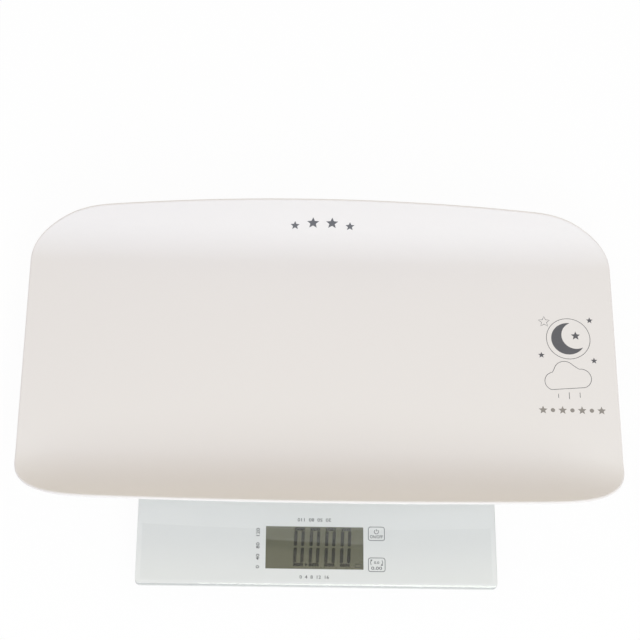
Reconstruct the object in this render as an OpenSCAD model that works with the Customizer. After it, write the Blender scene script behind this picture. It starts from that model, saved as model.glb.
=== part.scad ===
// Digital baby weighing scale: a lying tray that lifts off a glass platform scale.
// Millimetres. +X is to the right, +Y to the back and +Z up. The display side faces -Y.
// The origin is on the floor, under the middle of the whole object's box.

/* [Tray] */
// Length of the tray along X
tray_len = 550; // [500:5:600]
// Depth of the tray along Y, over the rims at mid length
tray_depth = 299; // [280:1:320]
// Thickness of the tray's wall
tray_wall = 3; // [2.5:0.5:4]
// Height of the rims above the lying surface
rim_height = 38; // [30:0.5:38]
// Distance from the front rim back to where its wall begins to curve up
front_run = 59; // [50:1:66]
// Distance from the back rim forward to where its wall begins to curve up
back_run = 50; // [46:1:60]
// Steepest slope of a long wall, in degrees
wall_angle = 56; // [54:1:60]
// How much the front rim bows out from its ends to its middle
bow_front = 8; // [2:1:14]
// How much the back rim bows out
bow_back = 10; // [2:1:14]
// Length of a corner's curve along the rim
corner_len = 76; // [50:1:90]
// Depth of the front corners' curve along the tray's end
front_corner = 39; // [25:1:50]
// Depth of the back corners' curve along the tray's end
back_corner = 41; // [25:1:50]
// Squareness of the corner curve: 2 is an ellipse, more is squarer
corner_power = 2.4; // [2:0.1:3]
// Height of the lying surface above the glass
tray_lift = 8; // [7:0.5:10]
// How far back from the platform's front edge the tray's rim sits
tray_setback = 61; // [58:1:66]
// Sideways place of the tray on the platform, within the play of its lugs
tray_shift = 3; // [-3:0.5:3]

/* [Glass platform] */
// Side of the square glass plate
plate_size = 320; // [310:1:330]
// Thickness of the glass
glass_t = 6; // [5:0.5:6]
// Width of the bevel ground along the top edges
bevel_w = 4.5; // [3:0.5:6]
// How far the bevel drops
bevel_drop = 1.8; // [1:0.2:2.4]
// Radius of the plate's corners in plan
plate_corner = 4; // [3:0.5:6]
// Height of the glass above the floor
platform_h = 26; // [26:0.5:28]

/* [Display and keys] */
// Width of the display window
window_w = 87; // [80:1:88]
// Depth of the display window
window_d = 39; // [34:1:40]
// Window centre, sideways from the platform's middle
window_x = -2; // [-4:0.5:0]
// Window centre, back from the platform's front edge
window_y = 35; // [34:0.5:36]
// Touch keys' centre, sideways from the platform's middle
key_x = 53.7; // [53:0.1:56]
// Power key's centre, back from the front edge
key_power_y = 50; // [46:0.5:52]
// Hold key's centre, back from the front edge
key_hold_y = 21.5; // [20:0.5:24]

/* [Base and feet] */
// Wall thickness of the base moulding
base_wall = 2; // [1.8:0.1:2.4]
// How far the base's walls stand in from the glass edge
base_inset = 7; // [6:0.5:7]
// Gap between the floor and the base's underside
base_gap = 5; // [5:0.5:6]
// Distance of a foot's centre in from both edges of the plate
foot_inset = 36; // [36:1:50]
// Diameter of a foot
foot_d = 36; // [30:1:38]
// Diameter of a foot's stem
foot_stem_d = 10; // [8:0.5:12]
// Gap between a foot and the base, in which the load cells bend under load
foot_gap = 0.8; // [0.5:0.1:1]

/* [Batteries] */
// Diameter of one round cell
battery_d = 10.5; // [10:0.1:10.5]
// Length of one cell, with its nub
battery_len = 44.5; // [43:0.5:44.5]
// Spacing of the three cells
battery_pitch = 11.3; // [11:0.1:11.4]
// Centre of the battery bay, back from the front edge
bay_y = 165; // [140:5:200]

/* [Hidden] */
$fn = 48;
eps = 0.02;

// Plan places
total_depth = tray_setback + tray_depth;
plate_x = -tray_shift;
plate_front = -total_depth / 2;
tray_front = plate_front + tray_setback;
tray_back = tray_front + tray_depth;

// Heights above the floor, from the glass down
glass_top_z = platform_h;
glass_low_z = glass_top_z - glass_t;
backing_t = 0.4;
backing_z = glass_low_z - backing_t;
tape_t = 0.5;
flange_top_z = backing_z - tape_t;
flange_t = 2.5;
floor_z = base_gap;
inside_z = floor_z + base_wall;
lcd_top_z = backing_z - 0.2;
lcd_t = 2.8;
board_z = 12;
board_t = 1.6;
board_top_z = board_z + board_t;

// Tray walls: a circular arc from the flat, then a straight. The straight's upper face would
// meet the plan's edge a little above the rim, and the rim is cut off level there.
lying_z = glass_top_z + tray_lift;
wall_rise = rim_height + 3;
function arc_radius(run) = (run * sin(wall_angle) - wall_rise * cos(wall_angle)) / (1 - cos(wall_angle));
rim_overrun = 4;
wall_steps = 9;
function straight_len(run) =
    (wall_rise - arc_radius(run) * (1 - cos(wall_angle))) / sin(wall_angle) + rim_overrun;
front_toe = tray_front + front_run;
back_toe = tray_back - back_run;

// Tray frame under the flat
frame_t = 3;
frame_z = lying_z - tray_wall - frame_t;
lug_play = 3.5;
lug_t = 3;
lug_w = 36;
lug_low_z = flange_top_z - 1;
back_lug_gap = 1.5;
back_lug_places = [-90, 90];
pad_d = 20;
pad_places = [[-1, -1], [1, -1], [-1, 1], [1, 1]];
pad_x = 130;
frame_half = plate_size / 2 + lug_play + lug_t;
frame_front = front_toe + 6;
frame_back = back_toe - 4;
frame_bar = 8;
frame_bays = 7;
frame_edge_bar = 16;

// Base moulding, in the platform's own plan: x from its middle, y from its front edge
base_size = plate_size - 2 * base_inset;
cavity_size = base_size - 2 * base_wall;
mid_y = plate_size / 2;
pocket_inner = 38;
pocket_outer = 42;
ledge_t = 2;
ledge_z = inside_z + ledge_t;
ledge_open = 24;
cell_size = 34;
cell_t = 2.5;
retainer_t = 2;
stem_hole_d = foot_stem_d + 1;
sole_t = 1.5;
sole_d = foot_d - 3;
foot_disc_t = base_gap - foot_gap - sole_t;
ring_z = inside_z + 0.05;
ring_t = 0.8;
ring_d = foot_stem_d + 5;
foot_at = plate_size / 2 - foot_inset;
wire_exit_w = 5;
pillar_places = [[-60, 110], [60, 110], [-60, 230], [60, 230], [0, 272], [34, 96]];
rib_t = 2;
rib_h = 2;

// Battery bay
bay_w = 54;
bay_d = 35;
bay_wall = 1.5;
bay_ceiling_z = 18;
battery_z = inside_z + 0.35 + battery_d / 2;
nub_d = 3.8;
nub_len = 1;
plate_t = 0.4;
spring_wire_d = 0.7;
spring_turns = 4;
door_gap = 0.3;
door_t = 1.8;
tongue_w = 8;
tongue_reach = 1.6;
tongue_t = 1;
tongue_places = [-15, 15];
scoop_r = 9;
scoop_depth = 1;

// Display stack
lcd_w = window_w + 6;
lcd_d = window_d + 6;
frame_edge = 2.9;
lcd_gap = 0.1;
board_x = [-62, 68];
board_y = [11.5, 58.5];
post_d = 5;
post_places = [[-58, 15], [-58, 55], [64, 15], [64, 55]];
screw_hole_d = 2;
screw_head_d = 4.4;
screw_head_t = 1.6;
zebra_w = 2;
switch_size = 6;
switch_t = 3;
button_x = -35;
button_y = 35;
button_d = 7;
button_hole_d = 7.6;
button_flange_d = 10;
button_low_z = floor_z + 0.3;
button_top_z = board_z - switch_t - 0.6;
touch_pad_d = 9;
chip_d = 14;
chip_t = 1.5;

// Wires, as points from the load cells and the battery bay to the circuit board
wire_d = 1.8;
wire_sides = 8;
cell_wire_z = ledge_z + cell_t / 2;
board_edge_z = board_z + board_t / 2;
cell_edge = foot_at - cell_size / 2;
near_left_route = [[-cell_edge, 36, cell_wire_z], [-98, 36, cell_wire_z], [-86, 36, 11.4], [-76, 36, board_edge_z],
    [board_x[0], 36, board_edge_z]];
near_right_route = [[cell_edge, 36, cell_wire_z], [98, 36, cell_wire_z], [88, 36, 11.4], [80, 36, board_edge_z],
    [board_x[1], 36, board_edge_z]];
far_left_route = [[-foot_at, mid_y + cell_edge, cell_wire_z], [-foot_at, 252, cell_wire_z], [-96, 216, 10.4],
    [-96, 70, 10.4], [-84, 46, 11.6], [-72, 44, board_edge_z], [board_x[0], 44, board_edge_z]];
far_right_route = [[foot_at, mid_y + cell_edge, cell_wire_z], [foot_at, 252, cell_wire_z], [96, 216, 10.4],
    [96, 70, 10.4], [86, 46, 11.6], [78, 44, board_edge_z], [board_x[1], 44, board_edge_z]];
bay_front_y = bay_y - bay_d / 2 - bay_wall;
lead_end_z = board_z + 0.6;
red_lead_route = [[-4, bay_front_y, 11], [-4, 132, 11], [-14, 96, 11.4], [-16, 72, lead_end_z],
    [-16, board_y[1], lead_end_z]];
black_lead_route = [[4, bay_front_y, 11], [4, 128, 11], [-8, 92, 11.4], [-11, 72, lead_end_z],
    [-11, board_y[1], lead_end_z]];

// Colours, as in the photograph
white_plastic = [0.93, 0.92, 0.9];
white_print = [0.9, 0.91, 0.9];
glass_tint = [0.85, 0.9, 0.88, 0.5];
rubber_grey = [0.55, 0.55, 0.55];
steel = [0.7, 0.71, 0.73];
board_green = [0.13, 0.4, 0.22];
lcd_olive = [0.41, 0.41, 0.35];
dark = [0.15, 0.15, 0.15];

// ---- Helpers ----

// Moves the platform's own plan (x from its middle, y from its front edge) to its place
module on_platform() {
    translate([plate_x, plate_front, 0]) children();
}

// Moves to the centre of one of the four load cells; sx and sy are -1 or 1
module at_cell(sx, sy) {
    on_platform() translate([sx * foot_at, mid_y + sy * foot_at, 0]) children();
}

// A box by its centre in plan, its size and its two heights
module slab(x, y, w, d, low, high) {
    translate([x - w / 2, y - d / 2, low]) cube([w, d, high - low]);
}

// An upright cylinder by its axis and its two heights
module post(x, y, d, low, high) {
    translate([x, y, low]) cylinder(d = d, h = high - low);
}

// A square of side s with round corners, in plan
module round_square(s, r) {
    translate([-s / 2 + r, -s / 2]) square([s - 2 * r, s]);
    translate([-s / 2, -s / 2 + r]) square([s, s - 2 * r]);
    for (sx = [-1, 1], sy = [-1, 1])
        translate([sx * (s / 2 - r), sy * (s / 2 - r)]) circle(r = r);
}

// Cuts the corners off a route once; twice gives soft bends
function soften(p) = [
    p[0],
    for (i = [0:len(p) - 2])
        each [0.75 * p[i] + 0.25 * p[i + 1], 0.25 * p[i] + 0.75 * p[i + 1]],
    p[len(p) - 1]
];

function unit(v) = v / norm(v);

// Direction of a route at its point i
function heading(p, i) = unit(p[min(i + 1, len(p) - 1)] - p[max(i - 1, 0)]);

// A round tube along route p; up is any direction that the route never follows
module tube(p, d, sides, up) {
    n = len(p);
    points = [
        for (i = [0:n - 1])
            let (t = heading(p, i), u = unit(cross(t, up)), v = cross(u, t))
                for (k = [0:sides - 1])
                    p[i] + d / 2 * (cos(360 * k / sides) * u + sin(360 * k / sides) * v)
    ];
    walls = [
        for (i = [0:n - 2], k = [0:sides - 1])
            let (a = i * sides + k, b = i * sides + (k + 1) % sides)
                each [[a, b + sides, b], [a, a + sides, b + sides]]
    ];
    first_cap = [for (k = [1:sides - 2]) [0, k, k + 1]];
    base = (n - 1) * sides;
    last_cap = [for (k = [1:sides - 2]) [base, base + k + 1, base + k]];
    polyhedron(points = points, faces = concat(walls, first_cap, last_cap));
}

module wire(route) {
    on_platform() tube(soften(soften(route)), wire_d, wire_sides, [0, 0, 1]);
}

// ---- Tray ----

// One corner of the tray's plan: x along the rim and y in from it, at curve angle q
function corner_point(depth, q) = [
    tray_len / 2 - corner_len + corner_len * pow(sin(q), 2 / corner_power),
    depth * (1 - pow(cos(q), 2 / corner_power))
];

// Right half of one long edge, from the middle to the tray's end; y is in from the rim's middle
function half_edge(bow, depth) = [
    for (x = [0:25:tray_len / 2 - corner_len - 10]) [x, bow * pow(2 * x / tray_len, 2)],
    for (q = [0:7.5:90])
        let (c = corner_point(depth, q)) [c[0], c[1] + bow * pow(2 * c[0] / tray_len, 2)]
];

function reversed(p) = [for (i = [len(p) - 1:-1:0]) p[i]];

// The tray's whole plan outline, anticlockwise
function tray_outline() =
    let (front = half_edge(bow_front, front_corner), back = half_edge(bow_back, back_corner))
        concat(
            [for (p = front) [p[0], tray_front + p[1]]],
            [for (p = reversed(back)) [p[0], tray_back - p[1]]],
            [for (i = [1:len(back) - 1]) [-back[i][0], tray_back - back[i][1]]],
            [for (i = [len(front) - 1:-1:1]) [-front[i][0], tray_front + front[i][1]]]
        );

// One face of a long wall in section, from its toe at [0, 0] out along +X and up past the rim:
// an arc, then a straight. out is 0 for the upper face and the wall's thickness for the lower one.
function wall_line(run, out) =
    let (r = arc_radius(run), straight = straight_len(run))
        concat(
            [for (i = [0:wall_steps])
                let (q = wall_angle * i / wall_steps) [(r + out) * sin(q), r - (r + out) * cos(q)]],
            [[(r + out) * sin(wall_angle) + straight * cos(wall_angle),
                r - (r + out) * cos(wall_angle) + straight * sin(wall_angle)]]
        );

// Both walls' lines in their places across the tray
function front_line(out) = [for (p = wall_line(front_run, out)) [front_toe - p[0], lying_z + p[1]]];
function back_line(out) = [for (p = wall_line(back_run, out)) [back_toe + p[0], lying_z + p[1]]];

module tray_shell() {
    color(white_plastic) intersection() {
        rotate([90, 0, 90]) linear_extrude(height = tray_len + 2, center = true)
            polygon(concat(reversed(front_line(0)), back_line(0),
                reversed(back_line(tray_wall)), front_line(tray_wall)));
        linear_extrude(height = lying_z + rim_height) polygon(tray_outline());
    }
}

// A lug that hangs from the frame outside one side of the platform
module side_lug(side, y) {
    inner = side * (plate_size / 2 + lug_play);
    outer = side * frame_half;
    translate([min(inner, outer), y - lug_w / 2, lug_low_z]) cube([lug_t, lug_w, frame_z + eps - lug_low_z]);
}

// The moulded frame welded under the tray: it stiffens the flat, stands on the pads
// and its lugs keep the tray from sliding off the glass
module tray_frame() {
    low = frame_z;
    high = frame_z + frame_t;
    back_lug_y = plate_front + plate_size + back_lug_gap;
    color(white_plastic) {
        for (y = [frame_front, frame_back - frame_edge_bar])
            translate([-frame_half, y, low]) cube([2 * frame_half, frame_edge_bar, frame_t]);
        for (i = [0:frame_bays])
            translate([-frame_half + i * (2 * frame_half - frame_bar) / frame_bays, frame_front, low])
                cube([frame_bar, frame_back - frame_front, frame_t]);
        for (p = pad_places) post(p[0] * pad_x, pad_y(p[1]), pad_d + 6, low, high);
        for (side = [-1, 1], y = [frame_front + lug_w, frame_back - lug_w]) side_lug(side, y);
        for (x = back_lug_places) {
            translate([x - lug_w / 2, frame_back - 2, low])
                cube([lug_w, back_lug_y + lug_t - frame_back + 2, frame_t]);
            translate([x - lug_w / 2, back_lug_y, lug_low_z]) cube([lug_w, lug_t, low + eps - lug_low_z]);
        }
    }
}

function pad_y(side) = side < 0 ? frame_front + frame_edge_bar / 2 : frame_back - frame_edge_bar / 2;

module tray_pad(sx, sy) {
    color(rubber_grey) post(sx * pad_x, pad_y(sy), pad_d, glass_top_z, frame_z);
}

module tray_pad_front_left() { tray_pad(-1, -1); }
module tray_pad_front_right() { tray_pad(1, -1); }
module tray_pad_back_left() { tray_pad(-1, 1); }
module tray_pad_back_right() { tray_pad(1, 1); }

// ---- Platform ----

// The ground bevel takes a wedge off each top edge, so the four meet in mitres
module glass_top() {
    half = plate_size / 2;
    color(glass_tint) on_platform() translate([0, mid_y, 0]) difference() {
        translate([0, 0, glass_low_z]) linear_extrude(height = glass_t) round_square(plate_size, plate_corner);
        for (turn = [0:90:270]) rotate([0, 0, turn]) rotate([90, 0, 0])
            linear_extrude(height = plate_size + 2, center = true)
                polygon([[half - bevel_w, glass_top_z + eps], [half + 1, glass_top_z + eps],
                    [half + 1, glass_top_z - bevel_drop * (bevel_w + 1) / bevel_w],
                    [half - bevel_w, glass_top_z]]);
    }
}

// White film printed behind the glass, with the display window left out
module white_backing() {
    color(white_print) on_platform() difference() {
        slab(0, mid_y, plate_size - 2, plate_size - 2, backing_z, glass_low_z);
        slab(window_x, window_y, window_w, window_d, backing_z - 1, glass_low_z + 1);
    }
}

// Foam tape that holds the backed glass on the base's flange
module bond_tape() {
    color("white") on_platform() difference() {
        slab(0, mid_y, plate_size - 3, plate_size - 3, flange_top_z, backing_z);
        slab(0, mid_y, cavity_size + 1, cavity_size + 1, flange_top_z - 1, backing_z + 1);
    }
}

// Square pocket that seats one load cell and carries the glass on its walls.
// wire_side is the direction, in degrees, of the notch for the cell's wires.
module cell_pocket(wire_side) {
    difference() {
        slab(0, 0, pocket_outer, pocket_outer, inside_z - eps, flange_top_z);
        slab(0, 0, pocket_inner, pocket_inner, ledge_z, flange_top_z + 1);
        slab(0, 0, ledge_open, ledge_open, inside_z - 1, ledge_z + 1);
        rotate(wire_side) slab(pocket_outer / 2, 0, 8, wire_exit_w, ledge_z, ledge_z + 4);
    }
}

// Cell places with the direction of each one's wire notch
cell_places = [[-1, -1, 0], [1, -1, 180], [-1, 1, -90], [1, 1, -90]];

module base_housing() {
    color(white_plastic) on_platform() difference() {
        union() {
            difference() {
                union() {
                    translate([0, mid_y, flange_top_z - flange_t])
                        linear_extrude(height = flange_t) round_square(plate_size, plate_corner);
                    translate([0, mid_y, floor_z])
                        linear_extrude(height = flange_top_z - floor_z) round_square(base_size, 3);
                }
                slab(0, mid_y, cavity_size, cavity_size, inside_z, flange_top_z + 1);
            }
            for (c = cell_places)
                translate([c[0] * foot_at, mid_y + c[1] * foot_at, 0]) cell_pocket(c[2]);
            for (p = pillar_places) post(p[0], p[1], 8, inside_z - eps, flange_top_z);
            for (p = post_places) post(p[0], p[1], post_d, inside_z - eps, board_z);
            for (y = [90, 210, 250]) slab(0, y, cavity_size + 1, rib_t, inside_z - eps, inside_z + rib_h);
            for (x = [-75, 75]) slab(x, mid_y + 20, rib_t, 230, inside_z - eps, inside_z + rib_h);
            slab(0, bay_y, bay_w + 2 * bay_wall, bay_d + 2 * bay_wall, inside_z - eps, bay_ceiling_z + 1);
        }
        slab(0, bay_y, bay_w, bay_d, floor_z - 1, bay_ceiling_z);
        for (c = cell_places) translate([c[0] * foot_at, mid_y + c[1] * foot_at, 0]) {
            post(0, 0, stem_hole_d, floor_z - 1, inside_z + 1);
            slab(0, 0, ledge_open, ledge_open, inside_z, ledge_z + 0.5);
            slab(0, 0, pocket_inner, pocket_inner, ledge_z, flange_top_z + 1);
        }
        for (p = post_places) post(p[0], p[1], screw_hole_d, inside_z + 1, board_z + 1);
        post(button_x, button_y, button_hole_d, floor_z - 1, inside_z + 1);
        // shallow finger scoop beside the battery door
        translate([0, bay_y + bay_d / 2 + 2, floor_z - scoop_r + scoop_depth]) sphere(r = scoop_r);
        // two pockets that take the door's tongues
        for (x = tongue_places)
            slab(x, bay_y - bay_d / 2 - bay_wall / 2, tongue_w + 1, bay_wall + 6, inside_z, inside_z + 3.5);
    }
}

// ---- Display and electronics ----

module display_frame() {
    color(dark) on_platform() difference() {
        slab(window_x, window_y, lcd_w + 2 * frame_edge, lcd_d + 2 * frame_edge, board_top_z, lcd_top_z);
        slab(window_x, window_y, lcd_w + 2 * lcd_gap, lcd_d + 2 * lcd_gap, board_top_z - 1, lcd_top_z + 1);
    }
}

module lcd_panel() {
    color(lcd_olive) on_platform() slab(window_x, window_y, lcd_w, lcd_d, lcd_top_z - lcd_t, lcd_top_z);
}

// Rubber contact strips that join the display glass to the board
module zebra_strips() {
    color(dark) on_platform() for (side = [-1, 1])
        slab(window_x, window_y + side * (lcd_d / 2 - zebra_w), lcd_w - 6, zebra_w, board_top_z, lcd_top_z - lcd_t);
}

module circuit_board() {
    color(board_green) on_platform() difference() {
        translate([board_x[0], board_y[0], board_z])
            cube([board_x[1] - board_x[0], board_y[1] - board_y[0], board_t]);
        for (p = post_places) post(p[0], p[1], screw_hole_d + 0.6, board_z - 1, board_top_z + 1);
    }
}

module controller_chip() {
    color(dark) on_platform() post(12, window_y, chip_d, board_z - chip_t, board_z);
}

// A block of conductive foam that carries a touch key from the board to the glass
module touch_pad(y) {
    color(dark) on_platform() post(key_x, y, touch_pad_d, board_top_z, backing_z);
}

module touch_pad_power() { touch_pad(key_power_y); }
module touch_pad_hold() { touch_pad(key_hold_y); }

module unit_switch() {
    color(dark) on_platform() slab(button_x, button_y, switch_size, switch_size, board_z - switch_t, board_z);
}

module board_screws() {
    color(steel) on_platform() for (p = post_places) {
        post(p[0], p[1], screw_head_d, board_top_z, board_top_z + screw_head_t);
        post(p[0], p[1], screw_hole_d - 0.02, inside_z + 1.5, board_top_z + eps);
    }
}

// ---- Load cells ----

// A stamped plate: a square frame with a tongue that the foot bends
module load_cell(sx, sy) {
    color(steel) at_cell(sx, sy) difference() {
        slab(0, 0, cell_size, cell_size, ledge_z, ledge_z + cell_t);
        difference() {
            slab(0, 0, 23, 23, ledge_z - 1, ledge_z + cell_t + 1);
            slab(0, 4, 9, 20, ledge_z - 2, ledge_z + cell_t + 2);
            post(0, 0, 15, ledge_z - 2, ledge_z + cell_t + 2);
        }
    }
}

module load_cell_front_left() { load_cell(-1, -1); }
module load_cell_front_right() { load_cell(1, -1); }
module load_cell_back_left() { load_cell(-1, 1); }
module load_cell_back_right() { load_cell(1, 1); }

// A snap-in plastic frame that holds one cell down on its ledge
module cell_retainer(sx, sy) {
    low = ledge_z + cell_t;
    color(white_plastic) at_cell(sx, sy) difference() {
        slab(0, 0, pocket_inner - 0.2, pocket_inner - 0.2, low, low + retainer_t);
        slab(0, 0, ledge_open + 2, ledge_open + 2, low - 1, low + retainer_t + 1);
    }
}

module cell_retainer_front_left() { cell_retainer(-1, -1); }
module cell_retainer_front_right() { cell_retainer(1, -1); }
module cell_retainer_back_left() { cell_retainer(-1, 1); }
module cell_retainer_back_right() { cell_retainer(1, 1); }

// Epoxy beads over the gauges, one on each tongue
module strain_gauges() {
    low = ledge_z + cell_t;
    color("white") for (c = cell_places) at_cell(c[0], c[1]) slab(0, 8.5, 6, 5, low, low + 0.8);
}

module cell_wire_front_left() { color(dark) wire(near_left_route); }
module cell_wire_front_right() { color(dark) wire(near_right_route); }
module cell_wire_back_left() { color(dark) wire(far_left_route); }
module cell_wire_back_right() { color(dark) wire(far_right_route); }

// ---- Batteries ----

// Cells lie along X in turn about, so their springs are at alternate ends
battery_rows = [[-1, 1], [0, -1], [1, 1]];

// Direction faces the nub; y_row is -1, 0 or 1
module battery(y_row, face) {
    body_len = battery_len - nub_len;
    nub_end = face * (bay_w / 2 - plate_t);
    body_end = nub_end - face * nub_len;
    color("goldenrod") on_platform() translate([0, bay_y + y_row * battery_pitch, battery_z]) rotate([0, 90, 0]) {
        translate([0, 0, face > 0 ? body_end - body_len : body_end]) cylinder(d = battery_d, h = body_len);
        translate([0, 0, face > 0 ? body_end - eps : nub_end]) cylinder(d = nub_d, h = nub_len + eps);
    }
}

module battery_front() { battery(battery_rows[0][0], battery_rows[0][1]); }
module battery_middle() { battery(battery_rows[1][0], battery_rows[1][1]); }
module battery_rear() { battery(battery_rows[2][0], battery_rows[2][1]); }

module battery_plates() {
    color(steel) on_platform() for (row = battery_rows, side = [-1, 1])
        translate([side * (bay_w / 2 - plate_t / 2), bay_y + row[0] * battery_pitch, battery_z])
            cube([plate_t, 9, 9], center = true);
}

// Coil springs that push each cell onto its far plate
module battery_springs() {
    length = bay_w - 2 * plate_t - battery_len - 2 * spring_wire_d;
    steps = 10 * spring_turns;
    coil = [
        for (i = [0:steps])
            let (a = 36 * i, r = 3.4 - 1.0 * i / steps)
                [spring_wire_d + length * i / steps, r * cos(a), r * sin(a)]
    ];
    color(steel) on_platform() for (row = battery_rows)
        translate([-row[1] * (bay_w / 2 - plate_t), bay_y + row[0] * battery_pitch, battery_z])
            mirror([row[1] < 0 ? 1 : 0, 0, 0]) tube(coil, spring_wire_d, 6, [1, 0, 0]);
}

module battery_lead_red() { color("red") wire(red_lead_route); }
module battery_lead_black() { color(dark) wire(black_lead_route); }

// The door swings down about its front edge, on two tongues inside the base
module battery_door() {
    front = bay_y - bay_d / 2;
    color(white_plastic) on_platform() {
        slab(0, bay_y, bay_w - 2 * door_gap, bay_d - 2 * door_gap, floor_z, floor_z + door_t);
        for (x = tongue_places) {
            slab(x, front + door_gap + 0.6, tongue_w, 1.2, floor_z + door_t - eps, inside_z + 0.2 + tongue_t);
            slab(x, front + door_gap - tongue_reach / 2 + 0.6, tongue_w, tongue_reach + 1.2,
                inside_z + 0.2, inside_z + 0.2 + tongue_t);
        }
    }
}

// ---- Feet ----

// A foot's stem passes through the base and carries its load cell's tongue
module foot(sx, sy) {
    color(white_plastic) at_cell(sx, sy) {
        post(0, 0, foot_d, sole_t, sole_t + foot_disc_t);
        post(0, 0, foot_stem_d, sole_t + foot_disc_t - eps, ledge_z);
    }
}

module foot_sole(sx, sy) {
    color(rubber_grey) at_cell(sx, sy) post(0, 0, sole_d, 0, sole_t);
}

// The ring that keeps a foot in its hole
module foot_ring(sx, sy) {
    color(steel) at_cell(sx, sy) difference() {
        post(0, 0, ring_d, ring_z, ring_z + ring_t);
        post(0, 0, foot_stem_d, ring_z - 1, ring_z + ring_t + 1);
    }
}

module foot_front_left() { foot(-1, -1); }
module foot_front_right() { foot(1, -1); }
module foot_back_left() { foot(-1, 1); }
module foot_back_right() { foot(1, 1); }
module foot_sole_front_left() { foot_sole(-1, -1); }
module foot_sole_front_right() { foot_sole(1, -1); }
module foot_sole_back_left() { foot_sole(-1, 1); }
module foot_sole_back_right() { foot_sole(1, 1); }
module foot_ring_front_left() { foot_ring(-1, -1); }
module foot_ring_front_right() { foot_ring(1, -1); }
module foot_ring_back_left() { foot_ring(-1, 1); }
module foot_ring_back_right() { foot_ring(1, 1); }

// ---- Unit button ----

module unit_button() {
    color(white_plastic) on_platform() {
        post(button_x, button_y, button_d, button_low_z, button_top_z);
        post(button_x, button_y, button_flange_d, inside_z + 0.02, inside_z + 0.82);
    }
}

tray_shell();
tray_frame();
tray_pad_front_left();
tray_pad_front_right();
tray_pad_back_left();
tray_pad_back_right();
glass_top();
white_backing();
bond_tape();
base_housing();
display_frame();
lcd_panel();
zebra_strips();
circuit_board();
controller_chip();
touch_pad_power();
touch_pad_hold();
unit_switch();
board_screws();
load_cell_front_left();
load_cell_front_right();
load_cell_back_left();
load_cell_back_right();
cell_retainer_front_left();
cell_retainer_front_right();
cell_retainer_back_left();
cell_retainer_back_right();
strain_gauges();
cell_wire_front_left();
cell_wire_front_right();
cell_wire_back_left();
cell_wire_back_right();
battery_springs();
battery_plates();
battery_front();
battery_middle();
battery_rear();
battery_lead_red();
battery_lead_black();
foot_front_left();
foot_front_right();
foot_back_left();
foot_back_right();
foot_sole_front_left();
foot_sole_front_right();
foot_sole_back_left();
foot_sole_back_right();
foot_ring_front_left();
foot_ring_front_right();
foot_ring_back_left();
foot_ring_back_right();
battery_door();
unit_button();
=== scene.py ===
# %% [markdown]
# # A baby weighing scale
# A white tray with curved-up long sides rests on a square glass scale. The solid model gives every
# piece at its real size. This script dresses it: finishes for all pieces, a smooth tray with a
# rounded lip, a glass plate with soft edges, the display's digits and the printed marks.

# %% Load the solid model
import math
import bmesh
import bpy
from mathutils import Matrix, Vector


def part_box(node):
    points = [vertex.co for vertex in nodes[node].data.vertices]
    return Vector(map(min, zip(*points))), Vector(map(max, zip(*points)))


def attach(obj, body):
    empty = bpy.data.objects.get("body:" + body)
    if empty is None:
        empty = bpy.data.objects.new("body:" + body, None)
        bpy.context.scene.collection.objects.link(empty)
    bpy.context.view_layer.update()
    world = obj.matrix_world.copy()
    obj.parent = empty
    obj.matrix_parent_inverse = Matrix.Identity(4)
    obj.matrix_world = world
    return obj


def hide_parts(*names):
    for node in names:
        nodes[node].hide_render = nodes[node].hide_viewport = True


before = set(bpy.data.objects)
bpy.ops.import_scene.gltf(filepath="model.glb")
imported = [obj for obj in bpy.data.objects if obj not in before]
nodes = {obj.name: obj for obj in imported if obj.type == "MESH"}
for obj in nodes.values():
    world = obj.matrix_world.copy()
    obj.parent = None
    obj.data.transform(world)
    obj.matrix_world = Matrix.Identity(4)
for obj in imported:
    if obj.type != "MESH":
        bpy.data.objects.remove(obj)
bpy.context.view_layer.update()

MM = 0.001

# %% Sizes read from the solid model
tray_low, tray_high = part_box("tray_shell")
glass_low, glass_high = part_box("glass_top")
lcd_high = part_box("lcd_panel")[1]
backing_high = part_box("white_backing")[1]
plate_x = (glass_low.x + glass_high.x) / 2
plate_front = glass_low.y
print("tray %.0f x %.0f mm" % ((tray_high.x - tray_low.x) / MM, (tray_high.y - tray_low.y) / MM))
print("glass %.0f mm square, middle at x = %.1f mm" % ((glass_high.x - glass_low.x) / MM, plate_x / MM))

# %% [markdown]
# ## Camera
# The scale is seen from the front and well above, a little turned and tilted. A camera is placed by
# its aim on the glass, its elevation, turn and distance, and then rolled about its own axis. The
# focal length is given in pixels of a 640-pixel picture and becomes a lens length in millimetres.

# %% Camera
PICTURE_PX = 640
FOCAL_PX = 1729.6
SENSOR_MM = 36.0
ELEVATION = math.radians(66.0)
TURN = math.radians(-4.39)
ROLL = math.radians(5.06)
DISTANCE = 1.6258
NEAREST_SEEN = 0.05
aim = Vector((-0.0012, plate_front + 0.2551, glass_high.z))

toward_camera = Vector((math.sin(TURN) * math.cos(ELEVATION), -math.cos(TURN) * math.cos(ELEVATION),
                        math.sin(ELEVATION)))
level_right = Vector((math.cos(TURN), math.sin(TURN), 0.0))
level_up = toward_camera.cross(level_right)
camera_right = math.cos(ROLL) * level_right + math.sin(ROLL) * level_up
camera_up = toward_camera.cross(camera_right)

camera_data = bpy.data.cameras.new("camera")
camera_data.sensor_width = SENSOR_MM
camera_data.lens = FOCAL_PX * SENSOR_MM / PICTURE_PX
camera_data.clip_start = NEAREST_SEEN
camera = bpy.data.objects.new("camera", camera_data)
bpy.context.scene.collection.objects.link(camera)
turned = Matrix((camera_right, camera_up, toward_camera)).transposed()
camera.matrix_world = Matrix.Translation(aim + DISTANCE * toward_camera) @ turned.to_4x4()
bpy.context.scene.camera = camera
bpy.context.scene.view_settings.view_transform = "Standard"
print("lens %.1f mm" % camera_data.lens)

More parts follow.
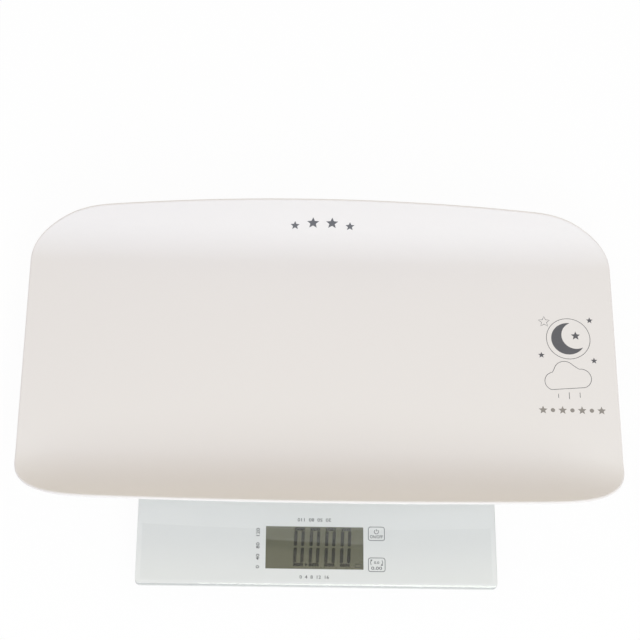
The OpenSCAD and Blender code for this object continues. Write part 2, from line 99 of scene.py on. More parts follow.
# %% [markdown]
# ## Floor and light
# The picture is a bright studio shot with a white surround. One large soft lamp stands low in front
# and a little to the right, so the back wall of the tray is the brightest and the front wall, which
# faces away, the darkest. The world fills the rest and is dark straight above, as a studio ceiling
# is, because the glass and the display mirror that part. The floor is white to the camera and to
# glossy rays but still takes a faint shadow.

# %% Node helpers
def link(tree, source, target):
    tree.links.new(source, target)


def new_node(tree, kind, **values):
    """A node, with its inputs set by name."""
    node = tree.nodes.new(kind)
    for name, value in values.items():
        node.inputs[name.replace("_", " ")].default_value = value
    return node


def math_node(tree, operation, *values):
    """A Math node's output; each value is a number or a socket."""
    node = tree.nodes.new("ShaderNodeMath")
    node.operation = operation
    for slot, value in zip(node.inputs, values):
        if isinstance(value, bpy.types.NodeSocket):
            link(tree, value, slot)
        else:
            slot.default_value = value
    return node.outputs[0]


# %% Floor
FLOOR_SIZE = 12.0
FLOOR_GLOW = 0.95
PAPER_COLOUR = (0.93, 0.93, 0.93, 1.0)
WHITE = (1.0, 1.0, 1.0, 1.0)


def floor_material():
    """White paper: seen directly or in a mirror it is mostly white, and it keeps a faint shadow.
    From below it is clear, so that the scale's underside can be looked at."""
    material = bpy.data.materials.new("paper_floor")
    material.use_nodes = True
    tree = material.node_tree
    tree.nodes.clear()
    paper = new_node(tree, "ShaderNodeBsdfDiffuse", Color=PAPER_COLOUR)
    glow = new_node(tree, "ShaderNodeEmission", Color=WHITE, Strength=1.0)
    rays = tree.nodes.new("ShaderNodeLightPath")
    seen = math_node(tree, "MAXIMUM", rays.outputs["Is Camera Ray"], rays.outputs["Is Glossy Ray"])
    mix = tree.nodes.new("ShaderNodeMixShader")
    link(tree, math_node(tree, "MULTIPLY", seen, FLOOR_GLOW), mix.inputs[0])
    link(tree, paper.outputs[0], mix.inputs[1])
    link(tree, glow.outputs[0], mix.inputs[2])
    clear = new_node(tree, "ShaderNodeBsdfTransparent", Color=WHITE)
    side = tree.nodes.new("ShaderNodeNewGeometry")
    both = tree.nodes.new("ShaderNodeMixShader")
    link(tree, side.outputs["Backfacing"], both.inputs[0])
    link(tree, mix.outputs[0], both.inputs[1])
    link(tree, clear.outputs[0], both.inputs[2])
    output = tree.nodes.new("ShaderNodeOutputMaterial")
    link(tree, both.outputs[0], output.inputs["Surface"])
    return material


floor_mesh = bpy.data.meshes.new("floor")
half_floor = FLOOR_SIZE / 2
floor_corners = [(-half_floor, -half_floor, 0), (half_floor, -half_floor, 0),
                 (half_floor, half_floor, 0), (-half_floor, half_floor, 0)]
floor_mesh.from_pydata(floor_corners, [], [(0, 1, 2, 3)])
floor = bpy.data.objects.new("floor", floor_mesh)
bpy.context.scene.collection.objects.link(floor)
floor_mesh.materials.append(floor_material())

# %% World
WORLD_LIGHT = 1.125
FRONT_SKY = (1.007, 1.021, 1.226, 1.0)
BACK_SKY = (0.995, 0.926, 0.732, 1.0)
HORIZON_SHARE, HORIZON_END = 0.4, 0.5
CEILING_SHARE = 0.12
CEILING_START, CEILING_FULL = 0.80, 0.94

world = bpy.data.worlds.new("studio")
bpy.context.scene.world = world
world.use_nodes = True
tree = world.node_tree
tree.nodes.clear()
rays = tree.nodes.new("ShaderNodeLightPath")
way = tree.nodes.new("ShaderNodeTexCoord")
parts = tree.nodes.new("ShaderNodeSeparateXYZ")
link(tree, way.outputs["Generated"], parts.inputs[0])
horizon = new_node(tree, "ShaderNodeMapRange", From_Min=0.0, From_Max=HORIZON_END, To_Min=HORIZON_SHARE,
                   To_Max=1.0)
ceiling = new_node(tree, "ShaderNodeMapRange", From_Min=CEILING_START, From_Max=CEILING_FULL, To_Min=1.0,
                   To_Max=CEILING_SHARE)
for ramp in (horizon, ceiling):
    ramp.interpolation_type = "SMOOTHSTEP"
    link(tree, parts.outputs["Z"], ramp.inputs["Value"])
level = math_node(tree, "MULTIPLY", horizon.outputs["Result"], ceiling.outputs["Result"])
tint = tree.nodes.new("ShaderNodeMix")
tint.data_type = "RGBA"
link(tree, math_node(tree, "MULTIPLY_ADD", parts.outputs["Y"], 0.5, 0.5), tint.inputs["Factor"])
tint.inputs[6].default_value = FRONT_SKY
tint.inputs[7].default_value = BACK_SKY
fill = tree.nodes.new("ShaderNodeBackground")
link(tree, tint.outputs[2], fill.inputs["Color"])
link(tree, math_node(tree, "MULTIPLY", level, WORLD_LIGHT), fill.inputs["Strength"])
white = new_node(tree, "ShaderNodeBackground", Color=WHITE, Strength=1.0)
mix = tree.nodes.new("ShaderNodeMixShader")
link(tree, rays.outputs["Is Camera Ray"], mix.inputs[0])
link(tree, fill.outputs[0], mix.inputs[1])
link(tree, white.outputs[0], mix.inputs[2])
output = tree.nodes.new("ShaderNodeOutputWorld")
link(tree, mix.outputs[0], output.inputs["Surface"])

# %% Lamp
KEY_POWER = 22.0
KEY_SIZE = 1.1
KEY_DISTANCE = 2.4
KEY_ELEVATION = math.radians(33)
KEY_TURN = math.radians(12)

key_data = bpy.data.lights.new("key", "AREA")
key_data.energy = KEY_POWER
key_data.size = KEY_SIZE
key_data.color = (0.889, 0.99, 0.871)
key = bpy.data.objects.new("key", key_data)
bpy.context.scene.collection.objects.link(key)
key_level = math.cos(KEY_ELEVATION)
key_direction = Vector((math.sin(KEY_TURN) * key_level, -math.cos(KEY_TURN) * key_level,
                        math.sin(KEY_ELEVATION)))
key.location = KEY_DISTANCE * key_direction
key.rotation_euler = key_direction.to_track_quat("Z", "Y").to_euler()
print("key lamp at", [round(v, 2) for v in key.location])

# %% [markdown]
# ## Finishes
# Moulded plastic, rubber and printed film all have a little variation that a flat colour lacks. Two
# small node groups give it: one makes a fine grain for the bump, the other drifts a colour slowly
# over the surface. Each material places them with its own values.

# %% Shader groups
def group_socket(group, name, way, kind, value=None):
    socket = group.interface.new_socket(name=name, in_out=way, socket_type=kind)
    if value is not None:
        socket.default_value = value
    return socket


def make_grain_group():
    """Object-space noise for a surface's fine texture. Scale is in grains per metre."""
    group = bpy.data.node_groups.new("surface_grain", "ShaderNodeTree")
    group_socket(group, "Scale", "INPUT", "NodeSocketFloat", 900.0)
    group_socket(group, "Detail", "INPUT", "NodeSocketFloat", 2.0)
    group_socket(group, "Height", "OUTPUT", "NodeSocketFloat")
    inputs = group.nodes.new("NodeGroupInput")
    outputs = group.nodes.new("NodeGroupOutput")
    place = group.nodes.new("ShaderNodeTexCoord")
    noise = group.nodes.new("ShaderNodeTexNoise")
    link(group, place.outputs["Object"], noise.inputs["Vector"])
    link(group, inputs.outputs["Scale"], noise.inputs["Scale"])
    link(group, inputs.outputs["Detail"], noise.inputs["Detail"])
    link(group, noise.outputs["Fac"], outputs.inputs["Height"])
    return group


def make_drift_group():
    """Mixes two near colours, and two roughnesses, by slow noise."""
    group = bpy.data.node_groups.new("colour_drift", "ShaderNodeTree")
    group_socket(group, "Color", "INPUT", "NodeSocketColor", (0.8, 0.8, 0.8, 1.0))
    group_socket(group, "Other Color", "INPUT", "NodeSocketColor", (0.7, 0.7, 0.7, 1.0))
    group_socket(group, "Scale", "INPUT", "NodeSocketFloat", 12.0)
    group_socket(group, "Roughness Low", "INPUT", "NodeSocketFloat", 0.35)
    group_socket(group, "Roughness High", "INPUT", "NodeSocketFloat", 0.45)
    group_socket(group, "Color", "OUTPUT", "NodeSocketColor")
    group_socket(group, "Roughness", "OUTPUT", "NodeSocketFloat")
    inputs = group.nodes.new("NodeGroupInput")
    outputs = group.nodes.new("NodeGroupOutput")
    place = group.nodes.new("ShaderNodeTexCoord")
    noise = group.nodes.new("ShaderNodeTexNoise")
    noise.inputs["Detail"].default_value = 3.0
    link(group, place.outputs["Object"], noise.inputs["Vector"])
    link(group, inputs.outputs["Scale"], noise.inputs["Scale"])
    mix = group.nodes.new("ShaderNodeMix")
    mix.data_type = "RGBA"
    link(group, noise.outputs["Fac"], mix.inputs["Factor"])
    link(group, inputs.outputs["Color"], mix.inputs[6])
    link(group, inputs.outputs["Other Color"], mix.inputs[7])
    link(group, mix.outputs[2], outputs.inputs["Color"])
    spread = group.nodes.new("ShaderNodeMapRange")
    link(group, noise.outputs["Fac"], spread.inputs["Value"])
    link(group, inputs.outputs["Roughness Low"], spread.inputs["To Min"])
    link(group, inputs.outputs["Roughness High"], spread.inputs["To Max"])
    link(group, spread.outputs["Result"], outputs.inputs["Roughness"])
    return group


grain_group = make_grain_group()
drift_group = make_drift_group()


def place_group(tree, group, **values):
    node = tree.nodes.new("ShaderNodeGroup")
    node.node_tree = group
    for name, value in values.items():
        node.inputs[name.replace("_", " ")].default_value = value
    return node


# %% Material maker
GRAIN_DEPTH = 0.02 * MM
COAT_ROUGHNESS = 0.06


def linear(grey):
    """One channel from 0 to 255, as seen on a screen, to the linear value a shader takes."""
    s = grey / 255
    return s / 12.92 if s <= 0.04045 else ((s + 0.055) / 1.055) ** 2.4


def screen(red, green, blue):
    return (linear(red), linear(green), linear(blue), 1.0)


def finish(name, colour, other, drift_scale=12.0, rough=(0.35, 0.45), grain=900.0, bump=0.03,
           metallic=0.0, specular=0.5, coat=0.0, coat_ior=1.5, sheen=0.0):
    """A material with a slow drift of colour and roughness and a fine bumpy grain."""
    material = bpy.data.materials.new(name)
    material.use_nodes = True
    tree = material.node_tree
    shader = tree.nodes["Principled BSDF"]
    drift = place_group(tree, drift_group, Color=colour, Other_Color=other, Scale=drift_scale,
                        Roughness_Low=rough[0], Roughness_High=rough[1])
    link(tree, drift.outputs["Color"], shader.inputs["Base Color"])
    link(tree, drift.outputs["Roughness"], shader.inputs["Roughness"])
    shader.inputs["Metallic"].default_value = metallic
    shader.inputs["Specular IOR Level"].default_value = specular
    shader.inputs["Coat Weight"].default_value = coat
    shader.inputs["Coat Roughness"].default_value = COAT_ROUGHNESS
    shader.inputs["Coat IOR"].default_value = coat_ior
    shader.inputs["Sheen Weight"].default_value = sheen
    surface = place_group(tree, grain_group, Scale=grain)
    lift = new_node(tree, "ShaderNodeBump", Strength=bump, Distance=GRAIN_DEPTH)
    link(tree, surface.outputs["Height"], lift.inputs["Height"])
    link(tree, lift.outputs["Normal"], shader.inputs["Normal"])
    return material


# %% The object's finishes
tray_plastic = finish("tray_plastic", screen(232, 228, 226), screen(230, 226, 224), drift_scale=4.0,
                      rough=(0.6, 0.66), grain=1400.0, bump=0.02, specular=0.3)
base_plastic = finish("base_plastic", screen(217, 217, 215), screen(213, 213, 211), drift_scale=9.0,
                      rough=(0.5, 0.6), grain=2500.0, bump=0.15)
white_print = finish("white_print", screen(234, 235, 234), screen(232, 233, 232), drift_scale=6.0,
                     rough=(0.5, 0.55))
white_foam = finish("white_foam", screen(212, 212, 210), screen(204, 204, 202), grain=3500.0, bump=0.6,
                    rough=(0.9, 0.95))
grey_rubber = finish("grey_rubber", screen(150, 150, 149), screen(138, 138, 137), grain=4000.0, bump=0.35,
                     rough=(0.75, 0.85), sheen=0.1)
black_plastic = finish("black_plastic", screen(38, 38, 39), screen(30, 30, 31), rough=(0.45, 0.55))
carbon_rubber = finish("carbon_rubber", screen(30, 30, 30), screen(44, 44, 44), grain=5000.0, bump=0.4,
                       rough=(0.8, 0.9))
plain_steel = finish("plain_steel", screen(196, 198, 200), screen(180, 182, 185), metallic=1.0, grain=2200.0,
                     bump=0.1, rough=(0.28, 0.42))
battery_jacket = finish("battery_jacket", screen(178, 140, 60), screen(166, 128, 52), coat=0.6,
                        rough=(0.3, 0.4))
gauge_epoxy = finish("gauge_epoxy", screen(232, 228, 214), screen(224, 218, 200), rough=(0.1, 0.2), coat=0.5)
black_wire = finish("black_wire", screen(28, 28, 28), screen(38, 38, 38), rough=(0.5, 0.6))
red_wire = finish("red_wire", screen(176, 30, 24), screen(160, 24, 20), rough=(0.45, 0.55))
circuit_green = finish("circuit_green", screen(38, 92, 58), screen(30, 80, 50), drift_scale=60.0,
                       rough=(0.35, 0.45), coat=0.5)
lcd_glass = finish("lcd_glass", screen(104, 104, 84), screen(100, 100, 80), rough=(0.5, 0.6), coat=1.0,
                   coat_ior=2.0, specular=0.0, bump=0.0)
lcd_segment = finish("lcd_segment", screen(26, 30, 16), screen(22, 26, 14), rough=(0.5, 0.6), coat=1.0,
                     coat_ior=2.0, specular=0.0, bump=0.0)
grey_ink = finish("grey_ink", screen(104, 104, 107), screen(96, 96, 99), drift_scale=300.0, rough=(0.5, 0.6))
dark_ink = finish("dark_ink", screen(98, 98, 103), screen(90, 90, 95), drift_scale=150.0, rough=(0.5, 0.6))
soft_ink = finish("soft_ink", screen(150, 145, 140), screen(143, 138, 133), drift_scale=150.0,
                  rough=(0.5, 0.6))
print("made", len(bpy.data.materials), "materials")

# %% Mesh helpers
MERGE_WITHIN = 1e-6
WELD_WITHIN = 2e-6


def plain_object(name, mesh, material, body, smooth=True):
    """An object at the origin with its place in its mesh, riding on a body."""
    obj = bpy.data.objects.new(name, mesh)
    bpy.context.scene.collection.objects.link(obj)
    mesh.materials.clear()
    mesh.materials.append(material)
    mesh.shade_smooth() if smooth else mesh.shade_flat()
    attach(obj, body)
    return obj


def outward(mesh, merge=MERGE_WITHIN):
    """Merges doubles and turns all faces of a closed mesh outwards."""
    work = bmesh.new()
    work.from_mesh(mesh)
    bmesh.ops.remove_doubles(work, verts=work.verts, dist=merge)
    bmesh.ops.recalc_face_normals(work, faces=work.faces)
    work.to_mesh(mesh)
    work.free()
    return mesh


# %% [markdown]
# ## The tray
# The real tray is one moulding of even thickness: flat in the middle, two long walls that curve up,
# open ends, and a rounded lip all round. Its shape follows a rule, so Geometry Nodes can make it from
# a plain grid. One way of the grid goes once round the plan, the other goes from the middle of the
# upper face out to the rim, round the lip and back along the lower face. A small class turns
# ordinary arithmetic into Math nodes, which keeps the rule readable.

# %% Arithmetic that builds nodes
class Field:
    """A number that varies over a mesh. Arithmetic on it adds Math nodes to Field.tree."""
    tree = None

    def __init__(self, socket):
        self.socket = socket

    @staticmethod
    def call(operation, *values):
        return Field(math_node(Field.tree, operation, *[getattr(v, "socket", v) for v in values]))

    def __add__(self, other):
        return Field.call("ADD", self, other)

    def __sub__(self, other):
        return Field.call("SUBTRACT", self, other)

    def __mul__(self, other):
        return Field.call("MULTIPLY", self, other)

    def __truediv__(self, other):
        return Field.call("DIVIDE", self, other)

    def __pow__(self, other):
        return Field.call("POWER", self, other)

    def __rsub__(self, other):
        return Field.call("SUBTRACT", other, self)

    def __rtruediv__(self, other):
        return Field.call("DIVIDE", other, self)

    __radd__ = __add__
    __rmul__ = __mul__


def clamped(field):
    return Field.call("MINIMUM", Field.call("MAXIMUM", field, 0.0), 1.0)


def sine(field):
    return Field.call("SINE", field)


def cosine(field):
    return Field.call("COSINE", field)


# %% Tray sizes
LYING_Z = 0.034
TRAY_WALL = 0.003
WALL_ANGLE = math.radians(56)
FRONT_RUN, BACK_RUN = 0.059, 0.050
WALL_RISE = 0.041
CORNER_LEN = 0.076
FRONT_CORNER, BACK_CORNER = 0.039, 0.041
CORNER_POWER = 2.4
BOW_FRONT, BOW_BACK = 0.008, 0.010
front_toe = tray_low.y + FRONT_RUN
back_toe = tray_high.y - BACK_RUN


def arc_radius(run):
    """Radius of a wall's upper face, from how far the wall runs out and how high it rises."""
    sin_a, cos_a = math.sin(WALL_ANGLE), math.cos(WALL_ANGLE)
    return (run * sin_a - WALL_RISE * cos_a) / (1 - cos_a)


print("wall radii %.1f and %.1f mm" % (arc_radius(FRONT_RUN) / MM, arc_radius(BACK_RUN) / MM))

# %% Geometry Nodes tree for the tray
AROUND = 4 * 96
ACROSS = 44
LIP_STEPS = 8
ROWS = 2 * ACROSS + LIP_STEPS + 1


def tray_tree(material):
    tree = bpy.data.node_groups.new("tray_surface", "GeometryNodeTree")
    Field.tree = tree
    sizes = {"Half Length": (tray_high.x - tray_low.x) / 2, "Front Rim": tray_low.y,
             "Back Rim": tray_high.y, "Front Toe": front_toe, "Back Toe": back_toe,
             "Front Radius": arc_radius(FRONT_RUN), "Back Radius": arc_radius(BACK_RUN),
             "Wall Angle": WALL_ANGLE, "Thickness": TRAY_WALL,
             "Lying Height": LYING_Z, "Corner Length": CORNER_LEN, "Front Corner": FRONT_CORNER,
             "Back Corner": BACK_CORNER, "Corner Power": CORNER_POWER, "Front Bow": BOW_FRONT,
             "Back Bow": BOW_BACK}
    for name in sizes:
        group_socket(tree, name, "INPUT", "NodeSocketFloat")
    group_socket(tree, "Geometry", "OUTPUT", "NodeSocketGeometry")
    inputs = tree.nodes.new("NodeGroupInput")
    size = {name: Field(inputs.outputs[name]) for name in sizes}

    # where a point is in the grid: turn runs from 0 to 4 once round, row from 0 to ROWS - 1
    grid = new_node(tree, "GeometryNodeMeshGrid", Size_X=1.0, Size_Y=1.0, Vertices_X=AROUND + 1,
                    Vertices_Y=ROWS)
    parts = tree.nodes.new("ShaderNodeSeparateXYZ")
    link(tree, tree.nodes.new("GeometryNodeInputPosition").outputs[0], parts.inputs[0])
    turn = (Field(parts.outputs[0]) + 0.5) * 4.0
    row = (Field(parts.outputs[1]) + 0.5) * (ROWS - 1)
    along = Field.call("PINGPONG", turn, 1.0)
    side = 1.0 - 2.0 * Field.call("GREATER_THAN", turn, 2.0)
    is_back = Field.call("GREATER_THAN", turn, 1.0) * Field.call("LESS_THAN", turn, 3.0)

    # the plan's outline, drawn in by half the lip
    edge_end, corner_end = 0.5, 0.88
    half_t = size["Thickness"] * 0.5
    half = size["Half Length"] - half_t
    swing = clamped((along - edge_end) / (corner_end - edge_end)) * (math.pi / 2)
    sin_s, cos_s = sine(swing), Field.call("MAXIMUM", cosine(swing), 0.0)
    root = 2.0 / size["Corner Power"]
    x_abs = (half - size["Corner Length"]) * clamped(along / edge_end) + size["Corner Length"] * sin_s ** root
    rel = x_abs / half
    bow = Field.call("MULTIPLY", rel, rel)
    down_end = clamped((along - corner_end) / (1.0 - corner_end))
    drawn_in = 1.0 - cos_s ** root
    front = size["Front Rim"] + half_t + size["Front Corner"] * drawn_in + size["Front Bow"] * bow
    back = size["Back Rim"] - half_t - size["Back Corner"] * drawn_in - size["Back Bow"] * bow
    middle = (size["Front Toe"] + size["Back Toe"]) * 0.5
    front = front + (middle - front) * down_end
    back = back + (middle - back) * down_end
    rim_x = x_abs * side
    rim_y = front + (back - front) * is_back

    # the outline's outward direction in plan
    slope = 2.0 - root
    out_x = sin_s ** slope / size["Corner Length"] * side
    depth = size["Front Corner"] + (size["Back Corner"] - size["Front Corner"]) * is_back
    out_y = cos_s ** slope / depth * (2.0 * is_back - 1.0)

    # rings from the middle to the rim, closer together towards the rim
    share = Field.call("MINIMUM", clamped(row / ACROSS), clamped((ROWS - 1.0 - row) / ACROSS))
    gather, spine = 1.5, 0.45
    ring = 1.0 - (1.0 - share) ** gather
    x = rim_x * (spine + (1.0 - spine) * ring)
    y = middle + (rim_y - middle) * ring

    # the section across the tray: flat, an arc, a straight
    def wall(past_toe, radius):
        radius = radius + half_t
        bend = Field.call("ARCSINE", Field.call("MINIMUM", past_toe / radius, sine(size["Wall Angle"])))
        beyond = Field.call("MAXIMUM", past_toe - radius * sine(size["Wall Angle"]), 0.0)
        return bend, radius * (1.0 - cosine(bend)) + beyond * Field.call("TANGENT", size["Wall Angle"])

    front_bend, front_rise = wall(Field.call("MAXIMUM", size["Front Toe"] - y, 0.0), size["Front Radius"])
    back_bend, back_rise = wall(Field.call("MAXIMUM", y - size["Back Toe"], 0.0), size["Back Radius"])
    bend = back_bend - front_bend
    z = size["Lying Height"] - half_t + front_rise + back_rise
    sin_b, cos_b = sine(bend), cosine(bend)

    # half a turn round the lip takes the upper face to the lower one
    lip = clamped((row - ACROSS) / LIP_STEPS) * math.pi
    on_slope = out_y * cos_b
    length = Field.call("SQRT", out_x * out_x + on_slope * on_slope)
    reach = half_t * sine(lip) / length
    rise = half_t * cosine(lip)
    place = tree.nodes.new("ShaderNodeCombineXYZ")
    link(tree, (x + reach * out_x).socket, place.inputs[0])
    link(tree, (y - rise * sin_b + reach * on_slope * cos_b).socket, place.inputs[1])
    link(tree, (z + rise * cos_b + reach * on_slope * sin_b).socket, place.inputs[2])

    shape = tree.nodes.new("GeometryNodeSetPosition")
    link(tree, grid.outputs["Mesh"], shape.inputs["Geometry"])
    link(tree, place.outputs[0], shape.inputs["Position"])
    weld = new_node(tree, "GeometryNodeMergeByDistance", Distance=WELD_WITHIN)
    link(tree, shape.outputs[0], weld.inputs["Geometry"])
    real = tree.nodes.new("GeometryNodeRealizeInstances")
    link(tree, weld.outputs[0], real.inputs[0])
    paint = tree.nodes.new("GeometryNodeSetMaterial")
    paint.inputs["Material"].default_value = material
    link(tree, real.outputs[0], paint.inputs["Geometry"])
    output = tree.nodes.new("NodeGroupOutput")
    link(tree, paint.outputs[0], output.inputs[0])
    return tree, sizes


# %% Run a tree and keep its mesh
def mesh_from_tree(name, tree, values, start=None):
    """Evaluates a Geometry Nodes tree on an empty mesh and returns the result as a plain mesh."""
    holder = bpy.data.objects.new(name + "_holder", start or bpy.data.meshes.new(name + "_start"))
    bpy.context.scene.collection.objects.link(holder)
    modifier = holder.modifiers.new("nodes", "NODES")
    modifier.node_group = tree
    for item in tree.interface.items_tree:
        if item.in_out == "INPUT" and item.name in values:
            modifier[item.identifier] = values[item.name]
    graph = bpy.context.evaluated_depsgraph_get()
    mesh = bpy.data.meshes.new_from_object(holder.evaluated_get(graph))
    mesh.name = name
    bpy.data.objects.remove(holder)
    return mesh


# %% The tray's mesh
tree, sizes = tray_tree(tray_plastic)
tray_mesh = outward(mesh_from_tree("tray", tree, sizes))
tray = plain_object("smooth_tray", tray_mesh, tray_plastic, "tray")
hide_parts("tray_shell")
print("tray:", len(tray_mesh.polygons), "faces,", len(tree.nodes), "nodes in its tree")

# %% [markdown]
# ## The glass plate
# Real glass over a white print. The solid plate is copied, its doubles are merged and its flat faces
# joined, and a fine bevel softens every edge so that it catches light. The underside is lowered by a
# hair into the print, so that the print lies in the glass with no air between, as real ink does.
# The upright edge is pale grey from outside: painted shade for the darker things its polished face reflects
# and refracts.

# %% Glass material
GLASS_TINT = (0.975, 0.98, 0.975, 1.0)
PASSING_TINT = (0.965, 0.968, 0.965, 1.0)
INSIDE_CLEAR = 0.65
GLASS_IOR = 1.5
RIPPLE_SCALE, RIPPLE_STRENGTH, RIPPLE_DEPTH = 30.0, 0.02, 0.05 * MM
PAINTED_EDGE_DRIFT = 40.0
# Painted shade: the pale grey of the glass plate's upright edge as seen from outside.
PAINTED_EDGE_GREY, PAINTED_EDGE_GREY_TOO = screen(184, 186, 185), screen(179, 181, 180)


def glass_material(name, painted_edge_shade=False):
    """Clear glass. Shadow and diffuse rays pass straight through, so the print below stays bright.
    The edge version is painted grey from outside, as painted shade for what a polished edge reflects and
    refracts, and is mostly clear from within."""
    material = bpy.data.materials.new(name)
    material.use_nodes = True
    tree = material.node_tree
    shader = tree.nodes["Principled BSDF"]
    shader.inputs["Base Color"].default_value = GLASS_TINT
    shader.inputs["Roughness"].default_value = 0.0
    shader.inputs["IOR"].default_value = GLASS_IOR
    shader.inputs["Transmission Weight"].default_value = 1.0
    surface = place_group(tree, grain_group, Scale=RIPPLE_SCALE)
    lift = new_node(tree, "ShaderNodeBump", Strength=RIPPLE_STRENGTH, Distance=RIPPLE_DEPTH)
    link(tree, surface.outputs["Height"], lift.inputs["Height"])
    link(tree, lift.outputs["Normal"], shader.inputs["Normal"])
    visible = shader.outputs[0]
    # Painted shade: from outside, the edge face is a diffuse grey that stands in for what a polished edge
    # reflects and refracts.
    if painted_edge_shade:
        grey = tree.nodes.new("ShaderNodeBsdfPrincipled")
        drift = place_group(tree, drift_group, Color=PAINTED_EDGE_GREY, Other_Color=PAINTED_EDGE_GREY_TOO,
                            Scale=PAINTED_EDGE_DRIFT)
        link(tree, drift.outputs["Color"], grey.inputs["Base Color"])
        link(tree, drift.outputs["Roughness"], grey.inputs["Roughness"])
        side = tree.nodes.new("ShaderNodeNewGeometry")
        faces = tree.nodes.new("ShaderNodeMixShader")
        link(tree, math_node(tree, "MULTIPLY", side.outputs["Backfacing"], INSIDE_CLEAR), faces.inputs[0])
        link(tree, grey.outputs[0], faces.inputs[1])
        link(tree, visible, faces.inputs[2])
        visible = faces.outputs[0]
    clear = new_node(tree, "ShaderNodeBsdfTransparent", Color=PASSING_TINT)
    rays = tree.nodes.new("ShaderNodeLightPath")
    passing = math_node(tree, "MAXIMUM", rays.outputs["Is Shadow Ray"], rays.outputs["Is Diffuse Ray"])
    mix = tree.nodes.new("ShaderNodeMixShader")
    link(tree, passing, mix.inputs[0])
    link(tree, visible, mix.inputs[1])
    link(tree, clear.outputs[0], mix.inputs[2])
    link(tree, mix.outputs[0], tree.nodes["Material Output"].inputs["Surface"])
    return material


clear_glass = glass_material("clear_glass")
shaded_edge_glass = glass_material("shaded_edge_glass", painted_edge_shade=True)

# %% Glass mesh
GLASS_DIP = 0.03 * MM
EDGE_SOFTNESS = 0.25 * MM
UPRIGHT_LIMIT = 0.4
FLAT_WITHIN, SHARP_BEYOND = math.radians(1), math.radians(35)


def soft_edged_copy(name, node, width, segments=2, angle=math.radians(12)):
    """A copy of a node's mesh with merged points, whole flat faces and finely rounded edges."""
    mesh = nodes[node].data.copy()
    mesh.name = name
    work = bmesh.new()
    work.from_mesh(mesh)
    bmesh.ops.remove_doubles(work, verts=work.verts, dist=MERGE_WITHIN)
    bmesh.ops.dissolve_limit(work, angle_limit=FLAT_WITHIN, verts=work.verts, edges=work.edges)
    sharp = [e for e in work.edges if len(e.link_faces) == 2 and e.calc_face_angle() > angle]
    bmesh.ops.bevel(work, geom=sharp, offset=width, segments=segments, profile=0.5, affect="EDGES",
                    clamp_overlap=True)
    bmesh.ops.recalc_face_normals(work, faces=work.faces)
    work.to_mesh(mesh)
    work.free()
    return mesh


glass_mesh = soft_edged_copy("glass_plate", "glass_top", EDGE_SOFTNESS)
for vertex in glass_mesh.vertices:
    if vertex.co.z < glass_low.z + GLASS_DIP:
        vertex.co.z = glass_low.z - GLASS_DIP
glass = plain_object("glass_plate", glass_mesh, clear_glass, "platform")
# The upright faces take the grey edge material, which is painted shade.
glass_mesh.materials.append(shaded_edge_glass)
for face in glass_mesh.polygons:
    face.material_index = 1 if abs(face.normal.z) < UPRIGHT_LIMIT else 0
glass_mesh.set_sharp_from_angle(angle=SHARP_BEYOND)
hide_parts("glass_top")
print("glass plate:", len(glass_mesh.polygons), "faces")

# %% [markdown]
# ## The display
# The display is a plain liquid-crystal panel. Its figures are bars with slightly pointed ends that
# lean a little, and a zero lights six of them. One point stands at the middle of each lit bar; Geometry
# Nodes puts a bar on each point, leans them all and gives them a thickness.

# %% Display sizes
DIGIT_WIDTH = 9.3 * MM
DIGIT_PITCH = 13.87 * MM
DIGIT_HEIGHT = 35.6 * MM
DIGIT_COUNT = 4
FIRST_DIGIT_X = plate_x - 21.3 * MM
DIGIT_BASE_Y = plate_front + 18.2 * MM
BAR_WIDTH = 2.9 * MM
DOT_SIZE = 2.3 * MM
CORNER_GAP = 0.25 * MM
MIDDLE_GAP = 0.7 * MM
TIP_SHARE = 0.15
DIGIT_LEAN = 1.5 / 35.6
INK_THICKNESS = 0.02 * MM
INK_LIFT = 0.01 * MM
FLAT_BAR, UPRIGHT_BAR, DOT = 0, 1, 2
digit_z = lcd_high.z + INK_LIFT
upright_low = DIGIT_BASE_Y + BAR_WIDTH + CORNER_GAP
upright_high = DIGIT_BASE_Y + DIGIT_HEIGHT / 2 - MIDDLE_GAP
bar_points = []
for digit in range(DIGIT_COUNT):
    left = FIRST_DIGIT_X + digit * DIGIT_PITCH + BAR_WIDTH / 2
    right = left + DIGIT_WIDTH - BAR_WIDTH
    for up in (0, 1):
        flat_y = BAR_WIDTH / 2 if up == 0 else DIGIT_HEIGHT - BAR_WIDTH / 2
        upright_y = (upright_low + upright_high) / 2 - DIGIT_BASE_Y
        upright_y = upright_y if up == 0 else DIGIT_HEIGHT - upright_y
        bar_points.append(((left + right) / 2, DIGIT_BASE_Y + flat_y, FLAT_BAR))
        for x in (left, right):
            bar_points.append((x, DIGIT_BASE_Y + upright_y, UPRIGHT_BAR))
bar_points.append((FIRST_DIGIT_X + (DIGIT_PITCH + DIGIT_WIDTH) / 2, DIGIT_BASE_Y + BAR_WIDTH / 2, DOT))
print("display:", len(bar_points), "lit parts")


